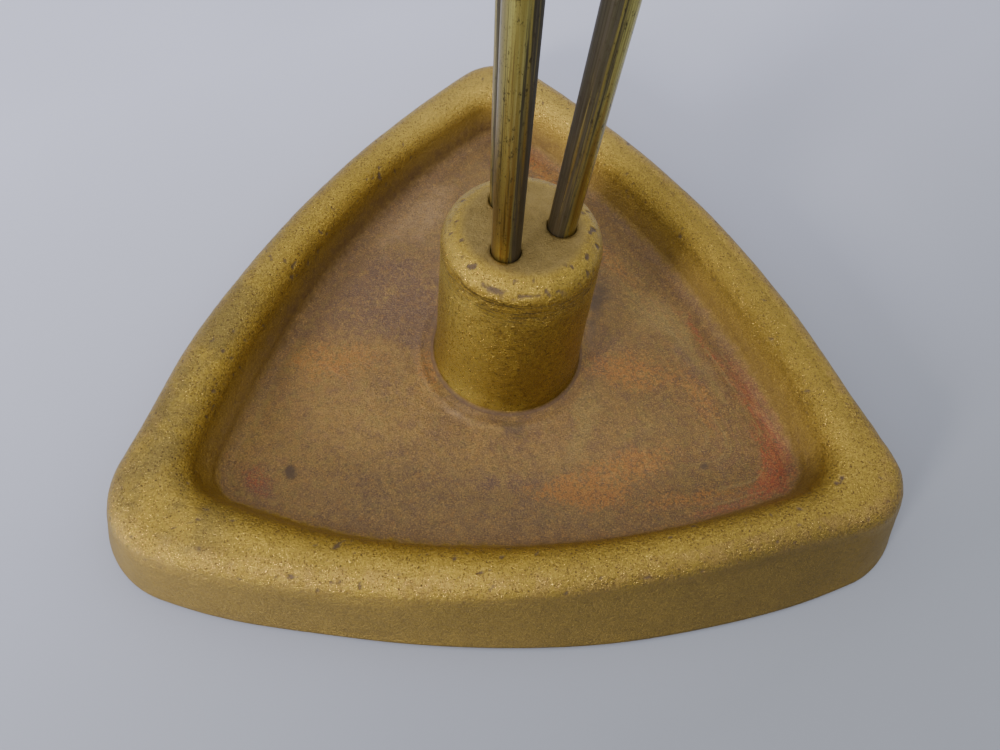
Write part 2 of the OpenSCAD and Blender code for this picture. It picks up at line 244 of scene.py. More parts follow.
def inner_profile():
    """Crest rounding, slope and floor fillet: (offset from the slope's foot, height)."""
    slope = radians(SLOPE)
    fillet_x, fillet_z = -FLOOR_FILLET * tan(slope / 2), FLOOR_H + FLOOR_FILLET
    low_x = fillet_x + FLOOR_FILLET * sin(slope)
    low_z = fillet_z - FLOOR_FILLET * cos(slope)
    crest_z = CREST_H - INNER_ROUND
    high_z = crest_z + INNER_ROUND * cos(slope)
    high_x = (high_z - FLOOR_H) / tan(slope)
    points = arc(high_x + INNER_ROUND * sin(slope), crest_z, INNER_ROUND,
                 90, 90 + SLOPE, ROUND_STEPS)
    for i in range(1, SLOPE_STEPS + 1):
        s = i / SLOPE_STEPS
        points.append((high_x + (low_x - high_x) * s, high_z + (low_z - high_z) * s))
    return points + arc(fillet_x, fillet_z, FLOOR_FILLET, SLOPE - 90, -90, FILLET_STEPS)[1:]


def even_angles(count):
    """Angles that space points evenly along the outer outline."""
    fine = np.linspace(0, 2 * pi, 7201)[:-1]
    radius = outline(fine, OUTER)
    points = np.stack([radius * np.cos(fine), radius * np.sin(fine)], 1)
    lengths = np.linalg.norm(np.roll(points, -1, 0) - points, axis=1)
    run = np.concatenate([[0], np.cumsum(lengths)])
    return np.interp(np.arange(count) / count * run[-1], run, np.append(fine, 2 * pi))


def around(phi, table):
    """A table of (degrees, mm) read at phi and softened over a few degrees."""
    angles, values = np.array(table, float).T
    angles = np.concatenate([angles - 360, angles, angles + 360])
    values = np.tile(values, 3)
    total = np.zeros(len(phi))
    for shift, weight in ((-6, .15), (-3, .2), (0, .3), (3, .2), (6, .15)):
        total += weight * np.interp(np.degrees(phi) + shift, angles, values)
    return total


def ring(phi, radius, z):
    return np.stack([radius * np.cos(phi), radius * np.sin(phi),
                     np.broadcast_to(z, len(phi))], 1)


def upper_rings(phi):
    """Rings from the outer foot over rim and floor to the boss top, with region and station.

    Whole stations: 0 foot, 1 wall top, 2 crest, 3 crest's inner edge, 4 slope, 5 floor fillet,
    6 floor, 7 boss foot, 8 boss wall, 9 boss rounding, 10 boss top.
    """
    rings, regions, stations = [], [], []

    def add(radius, z, region, station):
        rings.append(ring(phi, radius, z))
        regions.append(region)
        stations.append(station)

    crest_outer, outer_foot = around(phi, CREST_OUTER), around(phi, OUTER_FOOT)
    crest_inner, slope_foot = around(phi, CREST_INNER), around(phi, SLOPE_FOOT)
    outer, inner = outer_profile(), inner_profile()

    wall_end = 3 + WALL_STEPS           # the first three points only round the foot
    for k, (offset, z) in enumerate(outer):
        up = min(z / 17.0, 1.0)
        station = np.interp(k, [3, wall_end, wall_end + ROUND_STEPS], [0, 1, 2])
        add(outline(phi, OUTER, offset - crest_outer * up - outer_foot * (1 - up)), z,
            WALL, station)

    # flat crest; its inner edge gives way where the two edges come too close
    crest_out = outline(phi, OUTER, outer[-1][0] - crest_outer)
    crest_in = outline(phi, INNER, inner[0][0] - crest_inner)
    tight = np.maximum(0.0, crest_in + 0.8 - crest_out)
    crest_in = crest_in - tight
    for i in range(1, CREST_STEPS):
        s = i / CREST_STEPS
        add(crest_out * (1 - s) + crest_in * s, CREST_H, CREST, 2 + s)

    slope_end = ROUND_STEPS + SLOPE_STEPS
    for k, (offset, z) in enumerate(inner):
        station = np.interp(k, [0, ROUND_STEPS, slope_end, slope_end + FILLET_STEPS],
                            [3, 4, 5, 6])
        weight = np.interp(station, [4, 5, 6], [1, 0.8, 0])
        moved = offset - crest_inner * weight - slope_foot * smoothstep(16, 42, k)
        add(outline(phi, INNER, moved) - tight * (1 - smoothstep(0, slope_end, k)), z,
            INNER_SIDE, station)

    # floor, with a faint raised ring round the boss, which flares towards its foot
    floor_out = outline(phi, INNER, inner[-1][0] - slope_foot)
    flare = 1.1 + 1.1 * np.cos(phi - radians(232))
    floor_in = BOSS_FOOT_R + BOSS_FILLET + flare
    floor_steps = 104
    for i in range(1, floor_steps + 1):
        s = 1 - (1 - i / floor_steps) ** 1.15
        radius = floor_out * (1 - s) + floor_in * s
        ridge = 0.42 * np.exp(-((radius - 29.9 - 0.75 * flare) / 1.5) ** 2)
        add(radius, FLOOR_H + ridge * (0.6 + 0.4 * np.cos(phi - 3.9)), FLOOR, 6 + s)

    for i in range(1, BOSS_FILLET_STEPS + 1):
        s = i / BOSS_FILLET_STEPS
        angle = pi / 2 * s
        add(floor_in - BOSS_FILLET * sin(angle), FLOOR_H + BOSS_FILLET * (1 - cos(angle)),
            BOSS_SIDE, 7 + s)
    low, high = FLOOR_H + BOSS_FILLET, BOSS_TOP - BOSS_ROUND
    for i in range(1, BOSS_WALL_STEPS + 1):
        s = i / BOSS_WALL_STEPS
        spread = 0.55 * (1 - s) ** 1.2 + 0.45 * np.exp(-(high - low) * s / 5.0)
        add(BOSS_FOOT_R + (BOSS_R - BOSS_FOOT_R) * s + flare * spread, low + (high - low) * s,
            BOSS_SIDE, 8 + s)
    for i in range(1, BOSS_ROUND_STEPS + 1):
        s = i / BOSS_ROUND_STEPS
        angle = pi / 2 * s
        add(BOSS_R - BOSS_ROUND + BOSS_ROUND * cos(angle), high + BOSS_ROUND * sin(angle),
            BOSS_EDGE, 9 + s)
    return np.array(rings), regions, stations


def channel_height(phi, radius, height):
    """The channel stops short of the corners; a shallow pocket there takes each felt pad."""
    x, y = radius * np.cos(phi), radius * np.sin(phi)
    heights = np.full(len(phi), float(height))
    for k in range(3):
        angle = radians(90 + 120 * k)
        turn = np.degrees(np.arctan2(x * -sin(angle) + y * cos(angle),
                                     x * cos(angle) + y * sin(angle)))
        heights *= smoothstep(15.5, 17.0, np.abs(turn))
        from_pad = np.hypot(x - (REACH - 14) * cos(angle), y - (REACH - 14) * sin(angle))
        heights = np.where(from_pad < 8.6, 1.0, heights)
    return heights


def under_rings(phi):
    """Underside rings from the outer foot inwards and up into the hollow of the boss."""
    quarters = (0.25, 0.5, 0.75, 1.0)
    channel = [(-5.4 - 6.8 * s, CHANNEL_H * s) for s in (0.12, 0.3, 0.5, 0.7, 0.9, 1.0)]
    channel += [(-12.2 - 6.1 * s, CHANNEL_H) for s in (0.33, 0.66, 1.0)]
    channel += [(-18.3 - 3.2 * s, CHANNEL_H - 11.5 * s) for s in quarters]
    channel += [(-22.6, 0.6)]
    rows = [(outline(phi, OUTER, offset), 0.0) for offset in (-3.2, -5.4)]
    for offset, height in channel:
        radius = outline(phi, OUTER, offset)
        rows.append((radius, channel_height(phi, radius, height)))
    rows.append((outline(phi, OUTER, -22.9), 0.0))
    # shallow recess under the floor, then the land round the hollow
    recess = outline(phi, INNER, -1.5)
    rows += [(recess + 0.3, 0.0), (recess, 0.3), (recess - 0.2, 1.2)]
    rows += [((recess - 0.2) * (1 - s) + 21.2 * s, 1.2) for s in (0.2, 0.4, 0.6, 0.8, 1.0)]
    rows += [(21.0, 1.0), (20.8, 0.2), (HOLLOW_R + 0.2, 0.2)]
    rows += [(HOLLOW_R, 0.5 + (HOLLOW_H - 0.5) * s) for s in (0.0,) + quarters]
    return np.array([ring(phi, radius, z) for radius, z in rows])


def grid_normals(rings):
    along = np.gradient(rings, axis=0)
    across = np.roll(rings, -1, 1) - np.roll(rings, 1, 1)
    normals = np.cross(across, along)
    normals /= np.maximum(np.linalg.norm(normals, axis=2, keepdims=True), 1e-9)
    return normals.reshape(-1, 3)


def stain_masks(points, on_floor):
    """Strength of each kind of patch at the points, with wobbly borders."""
    wobble = np.zeros((len(points), 3))
    for axis in (0, 1):
        wobble[:, axis] = (value_noise(points, 11.0, 51 + axis) * 3.0
                           + value_noise(points, 3.5, 53 + axis) * 2.2)
    x, y, _ = (points + wobble).T
    masks = {}
    for key, blobs in PATCHES.items():
        total = np.zeros(len(points))
        for cx, cy, ax, ay, bx, by, strength in blobs:
            area_ = ax * by - ay * bx
            u = ((x - cx) * by - (y - cy) * bx) / area_
            v = (-(x - cx) * ay + (y - cy) * ax) / area_
            total += strength * np.exp(-(u * u + v * v) * 0.9)
        masks[key] = np.clip(total, 0, 1.6) * on_floor
    return masks


def relief(points, edge, region, station):
    """Height of the uneven surface over the plain section, the pit mask and the stain masks."""
    def bumps(cell, seed):
        return value_noise(points, cell, seed)

    radius = np.hypot(points[:, 0], points[:, 1])
    on_floor = (smoothstep(-2.5, 2.0, edge) * (region != BOSS_EDGE)
                * smoothstep(BOSS_FOOT_R - 1, BOSS_FOOT_R + 6, radius))
    # casting unevenness in three sizes, then grain
    height = 0.22 * bumps(34.0, 3) + 0.10 * bumps(13.0, 4) + 0.05 * bumps(5.0, 5)
    height += (0.030 + 0.035 * on_floor) * bumps(1.7, 6)
    height += (0.018 + 0.02 * on_floor) * bumps(0.9, 16)
    height += on_floor * (0.10 * bumps(9.0, 8) + 0.07 * bumps(3.4, 9))
    # pits on the crest and on the boss rounding
    pits = bumps(1.9, 11) * 0.6 + bumps(1.05, 12) * 0.4
    pit = (smoothstep(0.55, 0.74, pits + 0.18 * bumps(15.0, 13)) * (1 - on_floor)
           * smoothstep(0.7, 1.2, station) * (1 - smoothstep(3.8, 4.8, station)))
    boss_pits = bumps(1.7, 14) * 0.75 + pits * 0.25 + bumps(7.0, 15) * 0.2
    pit = np.maximum(pit, smoothstep(0.30, 0.50, boss_pits) * smoothstep(9.15, 9.4, station)
                     * (1 - smoothstep(9.80, 9.98, station)))
    height -= 0.20 * pit
    # fine wrinkles round the boss just under its rounded edge
    wrinkled = (np.exp(-((station - 9.02) / 0.13) ** 2)
                * (0.35 + 0.65 * smoothstep(-0.4, 0.5, bumps(15.0, 41))))
    squashed = points * np.array([0.16, 0.16, 1.0]) + bumps(4.0, 43)[:, None] * 0.5
    height += wrinkled * 0.16 * value_noise(squashed, 0.85, 42)
    # rust scale stands a little proud in patches
    masks = stain_masks(points, on_floor)
    height += (0.16 * masks["orange"] * smoothstep(-0.1, 0.6, bumps(2.2, 61))
               + 0.10 * masks["red"] * bumps(2.6, 62))
    # the shape stays exact at the foot and near the rod holes
    height *= smoothstep(0.0, 3.0, points[:, 2])
    height *= np.where(region == BOSS_EDGE, smoothstep(16.0, 19.5, radius), 1.0)
    return height, pit, masks


def hole_centre(hole, z):
    """Where a rod axis crosses height z."""
    radius = ROD_OFFSET + (z - BOSS_TOP) * tan(TILT)
    angle = radians(120 * hole)
    return radius * cos(angle), radius * sin(angle)


def hole_distance(x, y, z):
    """Distance to the nearest hole centre."""
    centres = [hole_centre(hole, z) for hole in range(3)]
    return np.min([np.hypot(x - cx, y - cy) for cx, cy in centres], axis=0)


def circle(cx, cy, radius, sides):
    angles = [2 * pi * i / sides for i in range(sides)]
    return [(cx + radius * cos(a), cy + radius * sin(a)) for a in angles]


def drilled_disc(rim, rim_ids, z, faces_up, first_id, spacing):
    """Fill the rim circle, leaving three holes: new points, faces and ids round each hole."""
    flat = [(float(x), float(y)) for x, y in rim]
    count = len(flat)
    loops = [list(range(count))]
    for hole in range(3):
        loops.append(list(range(len(flat), len(flat) + BORE_SIDES)))
        flat += circle(*hole_centre(hole, z), HOLE_R, BORE_SIDES)
    radius = hypot(*rim[0])
    steps = np.arange(-radius, radius + spacing, spacing)
    for column, x in enumerate(steps):
        for row in steps:
            y = row + (spacing / 2 if column % 2 else 0)
            if (hypot(x, y) <= radius - spacing * 0.6
                    and hole_distance(x, y, z) >= HOLE_R + spacing * 0.5):
                flat.append((float(x), float(y)))
    edges = [pair for loop in loops for pair in zip(loop, loop[1:] + loop[:1])]
    result = delaunay_2d_cdt([Vector(point) for point in flat], edges, [], 0, 1e-7)
    corners, triangles = result[0], result[2]
    # a corner made by crossing edges would have no source point
    source = [origins[0] if origins else None for origins in result[3]]
    ids = list(rim_ids) + [first_id + i for i in range(len(flat) - count)]
    faces = []
    for face in triangles:
        cx = sum(corners[i].x for i in face) / len(face)
        cy = sum(corners[i].y for i in face) / len(face)
        if hypot(cx, cy) > radius or hole_distance(cx, cy, z) < HOLE_R * 0.995:
            continue
        on_holes = {(source[i] - count) // BORE_SIDES
                    if count <= source[i] < count + 3 * BORE_SIDES else -1 for i in face}
        if len(on_holes) == 1 and -1 not in on_holes:
            continue
        face_ids = [ids[source[i]] for i in face]
        a, b, c = (corners[i] for i in face[:3])
        turns_left = (b.x - a.x) * (c.y - a.y) - (b.y - a.y) * (c.x - a.x) > 0
        faces.append(tuple(face_ids if turns_left == faces_up else face_ids[::-1]))
    hole_ids = [[ids[i] for i in loop] for loop in loops[1:]]
    return [(x, y, z) for x, y in flat[count:]], faces, hole_ids


def bores(top_ids, ceiling_ids, first_id):
    """Walls of the three rod holes: new points and faces."""
    points, faces = [], []
    for hole in range(3):
        above = top_ids[hole]
        (x0, y0), (x1, y1) = hole_centre(hole, BOSS_TOP), hole_centre(hole, HOLLOW_H)
        for step in range(1, BORE_STEPS + 1):
            s = step / BORE_STEPS
            if step == BORE_STEPS:
                below = ceiling_ids[hole]
            else:
                below = [first_id + len(points) + i for i in range(BORE_SIDES)]
                z = BOSS_TOP * (1 - s) + HOLLOW_H * s
                points += [(x, y, z) for x, y in circle(
                    x0 * (1 - s) + x1 * s, y0 * (1 - s) + y1 * s, HOLE_R, BORE_SIDES)]
            for i in range(BORE_SIDES):
                after = (i + 1) % BORE_SIDES
                faces.append((above[i], above[after], below[after], below[i]))
            above = below
    return points, faces


def make_casting():
    count = 1320
    phi = even_angles(count)
    upper, regions, stations = upper_rings(phi)
    under = under_rings(phi)
    upper_count, under_count = len(upper), len(under)

    foot = outline(phi, INNER, inner_profile()[-1][0] * 0.5)    # middle of the floor fillet
    # mm inwards from the rim's foot
    edge = (foot[None, :] - np.hypot(upper[:, :, 0], upper[:, :, 1])).reshape(-1)
    region, station = np.repeat(regions, count), np.repeat(stations, count)
    points = upper.reshape(-1, 3)
    height, pit, masks = relief(points, edge, region, station)
    flow = np.stack([edge, np.tile(phi * 80, upper_count) * 0.07, np.zeros(len(edge))], 1)
    points = points + grid_normals(upper) * height[:, None]

    faces = []
    this = np.arange(count)
    after = (this + 1) % count

    def strip(start, end):
        """Quads between two rings, facing out when end is further along the section."""
        quads = np.stack([start + this, start + after, end + after, end + this], 1)
        faces.extend(map(tuple, quads.tolist()))

    under_start = upper_count * count
    for k in range(upper_count - 1):
        strip(k * count, (k + 1) * count)
    strip(under_start, 0)
    for k in range(under_count - 1):
        strip(under_start + (k + 1) * count, under_start + k * count)

    # boss top and ceiling of the hollow, joined by the bores
    extra_start = under_start + under_count * count
    extra, top_faces, top_ids = drilled_disc(
        rim=points[-count:, :2], rim_ids=range(under_start - count, under_start), z=BOSS_TOP,
        faces_up=True, first_id=extra_start, spacing=0.8)
    ceiling, ceiling_faces, ceiling_ids = drilled_disc(
        rim=under[-1][:, :2], rim_ids=range(extra_start - count, extra_start), z=HOLLOW_H,
        faces_up=False, first_id=extra_start + len(extra), spacing=3.0)
    extra += ceiling
    bore_points, bore_faces = bores(top_ids, ceiling_ids, extra_start + len(extra))
    extra = np.array(extra + bore_points)
    faces += top_faces + ceiling_faces + bore_faces

    # the drilled top face is a little uneven, but not at the holes' own rims
    on_top = extra[:, 2] > BOSS_TOP - 1e-6
    x, y, _ = extra.T
    uneven = np.where(on_top & (np.hypot(x, y) < 15.0), 1.0, 0.0)
    uneven *= smoothstep(HOLE_R, HOLE_R + 2.0, hole_distance(x, y, BOSS_TOP))
    uneven *= 0.10 * value_noise(extra, 6.0, 71) + 0.05 * value_noise(extra, 2.0, 72)
    extra[:, 2] += uneven

    verts = np.concatenate([points, under.reshape(-1, 3), extra])
    verts[:, 2] += LIFT
    hidden = np.ones(under_count * count)

    def padded(values):
        missing = len(verts) - len(values)
        return np.concatenate([values, np.zeros((missing,) + values.shape[1:])])

    attributes = {
        "edge": np.concatenate([edge, hidden * -40.0, np.full(len(extra), -60.0)]),
        "region": np.concatenate([region, hidden * HIDDEN,
                                  np.where(on_top, DRILLED_TOP, HIDDEN)]),
        "pit": padded(pit),
        "prof": np.concatenate([station, hidden * 12.0, np.where(on_top, 10.5, 12.0)]),
        "flow": padded(flow),
    }
    attributes.update((key, padded(mask)) for key, mask in masks.items())
    return new_mesh("tray_casting", verts, faces, attributes)


# ------------------------------------------------------------------ the rods
# A rod's own frame: origin on the boss top, Z along the rod, X outwards
ROD_TAIL = -40.5
ROD_SIDES = 56
ROD_CHAMFER = 0.7
AXIS_SHIFT = (ROD_OFFSET + RISE * sin(TILT)) / cos(TILT)     # stand axis to rod axis at the top
LOOP_LEG = 2 * LOOP_R * cos(radians(30))

# Side, degrees round the boss, relief seed; then for the patina (degrees round the rod): black
# side, tan side, tan colour
RODS = [("right", 0, 0, 124, 352, (0.085, 0.055, 0.030)),
        ("back", 120, 5, 60, 200, (0.33, 0.165, 0.035)),
        ("front", 240, 9, 14, 195, (0.20, 0.155, 0.060))]


def rod_path():
    """Centre line of one rod: points and tangents."""
    path = []
    heights = [*np.arange(ROD_TAIL, -6, 4.0), *np.arange(-6, 110, 0.8),
               *np.arange(110, RISE - ELBOW_R, 4.0)]
    for z in heights:
        path.append(((0, 0, z), (0, 0, 1)))
    for i in range(25):
        a = pi / 2 * i / 24
        path.append(((ELBOW_R - ELBOW_R * cos(a), 0, RISE - ELBOW_R + ELBOW_R * sin(a)),
                     (sin(a), 0, cos(a))))
    loop_x = LOOP_LEG - AXIS_SHIFT
    for i in range(1, 6):
        path.append(((ELBOW_R + (loop_x - ELBOW_R) * i / 6, 0, RISE), (1, 0, 0)))
    for i in range(111):
        a = radians(90 - 240 * i / 110)
        path.append(((loop_x + LOOP_R * cos(a), -LOOP_R + LOOP_R * sin(a), RISE),
                     (sin(a), -cos(a), 0)))
    way = (cos(radians(120)), sin(radians(120)), 0)
    end = path[-1][0]
    for i in range(1, 23):
        run = (LOOP_LEG - 6.0) * i / 22
        path.append(((end[0] + way[0] * run, end[1] + way[1] * run, RISE), way))
    points, tangents = zip(*path)
    return np.array(points), np.array(tangents)


def make_rod(name, angle, seed):
    points, tangents = rod_path()
    count, sides = len(points), ROD_SIDES
    run = np.concatenate([[0], np.cumsum(np.linalg.norm(np.diff(points, axis=0), axis=1))])
    # a side vector carried along the path without twist
    side = np.zeros((count, 3))
    current = np.array([0.0, 1.0, 0.0])
    for i in range(count):
        current = current - tangents[i] * (current @ tangents[i])
        current /= np.linalg.norm(current)
        side[i] = current
    up = np.cross(tangents, side)
    theta = np.arange(sides) / sides * 2 * pi
    spokes = (side[:, None, :] * np.cos(theta)[None, :, None]
              + up[:, None, :] * np.sin(theta)[None, :, None])
    # coordinates as if the rod were straight
    coords = np.stack([np.tile(np.cos(theta) * ROD_R, count), np.tile(np.sin(theta) * ROD_R, count),
                       np.repeat(run, sides)], 1)
    # the drawn rod is nearly true: faint flats and dents
    flats = value_noise(coords * np.array([1, 1, 0.12]), 3.0, 21 + seed)
    dents = smoothstep(0.72, 0.9, value_noise(coords * np.array([1, 1, 0.5]), 2.4, 31 + seed))
    radius = ROD_R - 0.01 + 0.012 * flats - 0.02 * dents
    verts = (points[:, None, :] + spokes * radius.reshape(count, sides)[:, :, None]).reshape(-1, 3)
    faces = []
    for k in range(count - 1):
        for j in range(sides):
            a, b = k * sides + j, k * sides + (j + 1) % sides
            faces.append((a, b, b + sides, a + sides))
    # chamfered end caps
    for k, sign in ((0, -1), (count - 1, 1)):
        start = len(verts)
        centre = points[k] + tangents[k] * sign * ROD_CHAMFER
        verts = np.concatenate([verts, centre + spokes[k] * (ROD_R - ROD_CHAMFER), [centre]])
        coords = np.concatenate([coords, coords[k * sides:(k + 1) * sides], [[0, 0, run[k]]]])
        for j in range(sides):
            a, b = k * sides + j, k * sides + (j + 1) % sides
            c, d = start + j, start + (j + 1) % sides
            faces.append((a, c, d, b) if sign < 0 else (a, b, d, c))
            tip = (c, d, start + sides)
            faces.append(tip if sign > 0 else tip[::-1])
    pose = np.array(Matrix.Rotation(radians(angle), 4, "Z")
                    @ Matrix.Translation((ROD_OFFSET, 0, BOSS_TOP + LIFT))
                    @ Matrix.Rotation(TILT, 4, "Y"))
    placed = verts @ pose[:3, :3].T + pose[:3, 3]
    return new_mesh(name, placed, faces, {"rodco": coords, "along": coords[:, 2]})


# ------------------------------------------------------------------ turned pieces
HUB_R, HUB_ROUND = 15.0, 4.0
NECK_R = 6.5


def revolve(name, profile, sides=128):
    """Solid of revolution about Z from (radius, z) points, from axis to axis, bottom to top."""
    verts, rings, faces = [], [], []
    for radius, z in profile:
        start = len(verts)
        if radius > 0:
            verts += [(x, y, z) for x, y in circle(0, 0, radius, sides)]
        else:
            verts.append((0, 0, z))
        rings.append(list(range(start, len(verts))))
    for low, high in zip(rings, rings[1:]):
        for j in range(sides):
            after = (j + 1) % sides
            if len(low) == 1:
                faces.append((low[0], high[after], high[j]))
            elif len(high) == 1:
                faces.append((low[j], low[after], high[0]))
            else:
                faces.append((low[j], low[after], high[after], high[j]))
    return new_mesh(name, np.array(verts), faces)


def make_hub():
    low, high = (corner.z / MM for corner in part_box("top_hub"))
    middle = (low + high) / 2
    profile = [(0, low), (3, low)]
    profile += arc(HUB_R - HUB_ROUND, low + HUB_ROUND, HUB_ROUND, -90, 0, steps=10)
    profile += [(HUB_R, z) for z in (low + 5.2, middle - 3.0, middle, middle + 3.0, high - 5.2)]
    profile += arc(HUB_R - HUB_ROUND, high - HUB_ROUND, HUB_ROUND, 0, 90, steps=10)
    return revolve("hub_turned", profile + [(3, high), (0, high)])


def make_knob():
    """A ball on a waisted neck."""
    low_corner, high_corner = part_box("knob")
    low, high = low_corner.z / MM, high_corner.z / MM
    ball_r = (high_corner.x - low_corner.x) / 2 / MM
    centre = high - ball_r
    profile = [(0, low), (NECK_R + 2.6, low), (NECK_R + 3.0, low + 0.35), (NECK_R + 2.4, low + 0.8)]
    profile += arc(NECK_R + 4.0, low + 4.5, 4.0, 246, 160, steps=10)
    start = degrees(atan2(low + 5.9 - centre, 6.55))
    profile += arc(0, centre, ball_r, start, 90, steps=40)[:-1]
    return revolve("knob_turned", profile + [(0, high)])


casting = make_casting()
rods = [make_rod(f"rod_{row[0]}_brass", angle=row[1], seed=row[2]) for row in RODS]
hub = make_hub()
knob = make_knob()


# ------------------------------------------------------------------ shader node helpers
# These add to the node tree that was opened last. A colour is (red, green, blue).
def open_tree(new_tree):
    global tree
    tree = new_tree
    tree.nodes.clear()


def node(kind, **settings):
    made = tree.nodes.new("ShaderNode" + kind)
    for key, value in settings.items():
        setattr(made, key, value)
    return made


def feed(socket, value):
    """Link a socket's output into an input, or set a constant."""
    if isinstance(value, bpy.types.NodeSocket):
        tree.links.new(value, socket)
    elif socket.type == "RGBA":
        socket.default_value = (*value, 1)
    else:
        socket.default_value = value


def fed(made, inputs, output):
    """Feed a node's inputs and give back one output."""
    for key, value in inputs.items():
        feed(made.inputs[key], value)
    return made.outputs[output]


def calc(operation, a, b):
    return fed(node("Math", operation=operation), {0: a, 1: b}, 0)


def mul(a, b):
    return calc("MULTIPLY", a, b)


def add(a, b):
    return calc("ADD", a, b)


def centred(value, gain):
    """A 0..1 noise swung about zero."""
    return mul(calc("SUBTRACT", value, 0.5), gain)


def ramp(value, span, to=(0.0, 1.0), kind="SMOOTHSTEP"):
    """The value eased from `to[0]` to `to[1]` as it crosses the span."""
    return fed(node("MapRange", interpolation_type=kind),
               {"Value": value, "From Min": span[0], "From Max": span[1],
                "To Min": to[0], "To Max": to[1]}, "Result")


def band(value, rise, fall):
    """1 between the two spans, easing to 0 outside them."""
    return mul(ramp(value, rise), ramp(value, fall, (1, 0)))


def mix(amount, under, over):
    """Colour `over` laid on colour `under`."""
    return fed(node("Mix", data_type="RGBA"), {0: amount, 6: under, 7: over}, 2)


def mix_value(amount, under, over):
    return fed(node("Mix", data_type="FLOAT"), {0: amount, 2: under, 3: over}, 0)


def noise(coords, scale, detail, rough, distort=0.0, output="Fac"):
    return fed(node("TexNoise"), {"Vector": coords, "Scale": scale, "Detail": detail,
                                  "Roughness": rough, "Distortion": distort}, output)


def mapping(coords, scale=(1, 1, 1), shift=(0, 0, 0)):
    return fed(node("Mapping"), {"Vector": coords, "Scale": scale, "Location": shift}, 0)


def attribute(name, output="Fac"):
    return node("Attribute", attribute_name=name).outputs[output]


def dot(vector, direction):
    return fed(node("VectorMath", operation="DOT_PRODUCT"), {0: vector, 1: direction}, "Value")


def position_mm():
    return mapping(node("NewGeometry").outputs["Position"], scale=(1000, 1000, 1000))


def split_xy(coords):
    outputs = fed(node("SeparateXYZ"), {0: coords}, 0).node.outputs
    return outputs[0], outputs[1]


def bump(height, distance, strength):
    """distance in metres"""
    return fed(node("Bump"), {"Strength": strength, "Distance": distance, "Height": height}, 0)


def new_material(name):
    """A material with its tree opened; gives the material and its surface shader."""
    material = bpy.data.materials.new(name)
    material.use_nodes = True
    open_tree(material.node_tree)
    output = node("OutputMaterial")
    shader = node("BsdfPrincipled")
    tree.links.new(shader.outputs[0], output.inputs[0])
    return material, shader


def set_surface(shader, colour, roughness, metallic=0.0, normal=None):
    feed(shader.inputs["Base Color"], colour)
    feed(shader.inputs["Roughness"], roughness)
    feed(shader.inputs["Metallic"], metallic)
    if normal is not None:
        feed(shader.inputs["Normal"], normal)


# ------------------------------------------------------------------ casting material
GOLD, DEEP_GOLD, OLD_GOLD = (0.455, 0.298, 0.050), (0.38, 0.250, 0.042), (0.32, 0.213, 0.040)
FLOOR_TAN, FLOOR_BROWN = (0.262, 0.152, 0.042), (0.205, 0.115, 0.040)
FOOT_SHADE = 0.8                         # strength of the painted shade, a dark line round the boss foot
# Noise per mm for the whole casting: scale, detail, roughness
CAST_NOISES = [(0.018, 3, 0.5),         # broad
               (0.09, 5, 0.62),         # medium
               (0.33, 5, 0.65),         # mottle
               (0.95, 4, 0.7),          # fine
               (2.3, 3, 0.7)]           # grain
# Dark specks: cell scale, largest radius in cells, threshold, strength
SPECKS = [(1.15, 0.36, 0.60, 0.85), (0.6, 0.19, 0.80, 0.7), (2.0, 0.42, 0.50, 0.8)]


def rim_paint(coords, noises, x, y, station, wall):
    """Gold bronze paint and its wear on the wall and crest, with painted light on the back corner
    and painted shade on the wall and on the crest's inner edge to the right.
    """
    broad, medium, mottle, fine, grain = noises
    gold = mix(ramp(medium, (0.36, 0.64)), GOLD, DEEP_GOLD)
    gold = mix(ramp(broad, (0.42, 0.62), to=(0, 0.5)), gold, OLD_GOLD)
    gold = mix(ramp(mottle, (0.46, 0.72), to=(0, 0.45)), gold, (0.23, 0.14, 0.035))
    # bright and dark grains
    gold = mix(ramp(grain, (0.50, 0.64), to=(0, 0.60)), gold, (0.66, 0.455, 0.095))
    gold = mix(ramp(grain, (0.34, 0.48), to=(0.60, 0)), gold, (0.14, 0.085, 0.022))
    gold = mix(ramp(fine, (0.40, 0.48), to=(0.35, 0)), gold, (0.19, 0.115, 0.035))
    # painted shade: the wall is painted duller and darker than the crest, where it faces the darker
    # front
    gold = mix(mul(wall, 0.50), gold, (0.165, 0.115, 0.048))
    # painted light: the back corner is painted lighter
    gold = mix(ramp(y, (60, 100), to=(0, 0.45)), gold, (0.62, 0.42, 0.10))
    # painted shade: darker wall along the front, growing to the right, where the wall faces away
    # from the light
    painted_shade = mul(ramp(station, (1.6, 2.6), to=(1, 0.25)),
                mul(ramp(x, (-30, 95), to=(0, 0.34)), ramp(x, (84, 104), to=(1, 0.5))))
    gold = mix(mul(painted_shade, ramp(y, (-20, -50))), gold, (0.13, 0.088, 0.035))
    # paint rubbed to a pinkish brown along the outer edge
    rub = mul(band(station, (0.7, 1.3), (1.9, 2.5)),
              ramp(noise(coords, scale=0.22, detail=5, rough=0.7), (0.40, 0.62)))
    gold = mix(mul(rub, 0.30), gold, (0.34, 0.20, 0.085))
    # dull crest at the left corner
    dull = mul(band(station, (1.2, 1.9), (3.3, 3.9)),
               ramp(noise(coords, scale=0.06, detail=5, rough=0.7), (0.38, 0.60)))
    gold = mix(mul(dull, ramp(x, (-72, -92), to=(0, 0.60))), gold, (0.17, 0.125, 0.050))
    # painted shade: the inner edge of the crest on the right is darkened to brown
    right = mul(band(station, (2.4, 3.0), (3.9, 4.4)), ramp(x, (35, 60), to=(0, 0.48)))
    return mix(mul(right, ramp(y, (-45, -25))), gold, (0.22, 0.145, 0.030))


